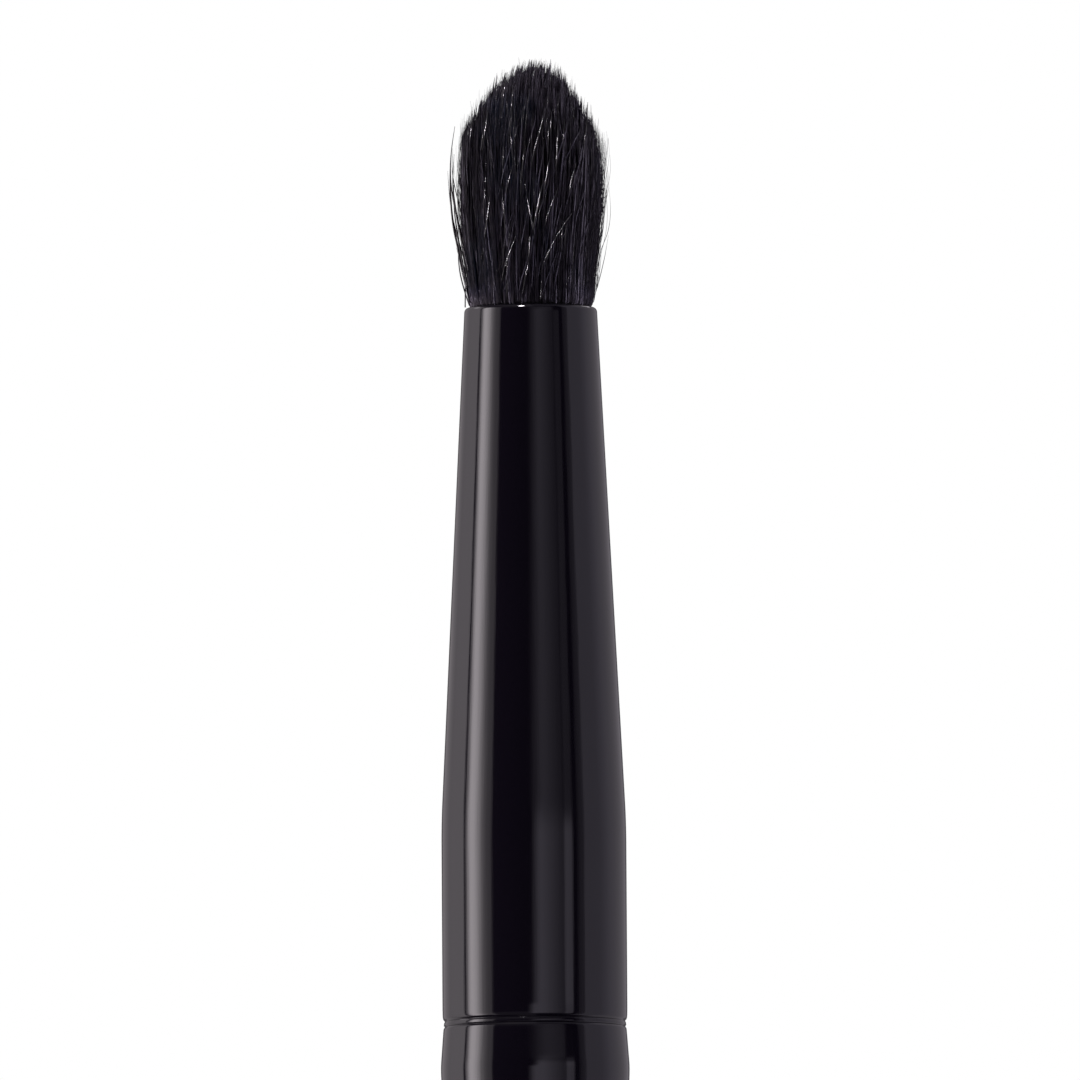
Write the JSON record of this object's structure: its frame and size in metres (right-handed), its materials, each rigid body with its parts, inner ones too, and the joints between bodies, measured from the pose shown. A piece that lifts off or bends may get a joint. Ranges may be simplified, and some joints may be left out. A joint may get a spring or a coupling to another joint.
{
  "type": "eyeliner brush",
  "caption": "Round eyeliner and smudge brush: a domed soft hair tuft in a long tapered gloss black ferrule on a turned, lacquered wooden handle.",
  "frame": {"origin": "centre of the handle's flat butt face", "axes": "+Z runs along the brush's axis from the butt face to the hair tip; +X and +Y are two square directions across it, and the turned pieces are the same all round"},
  "size_m": [0.0086, 0.0086, 0.168],
  "materials": {
    "handle_lacquer": "polished",
    "ferrule_lacquer": "polished",
    "hair": "satin",
    "thread": "matte",
    "epoxy": "gloss",
    "wood_adhesive": "satin"
  },
  "bodies": {
    "root": {"handle": "handle_lacquer", "ferrule": "ferrule_lacquer", "hair_tuft": "hair", "tuft_binding_thread": "thread", "tuft_glue_plug": "epoxy", "tenon_glue_sleeve": "wood_adhesive"}
  },
  "joints": []
}
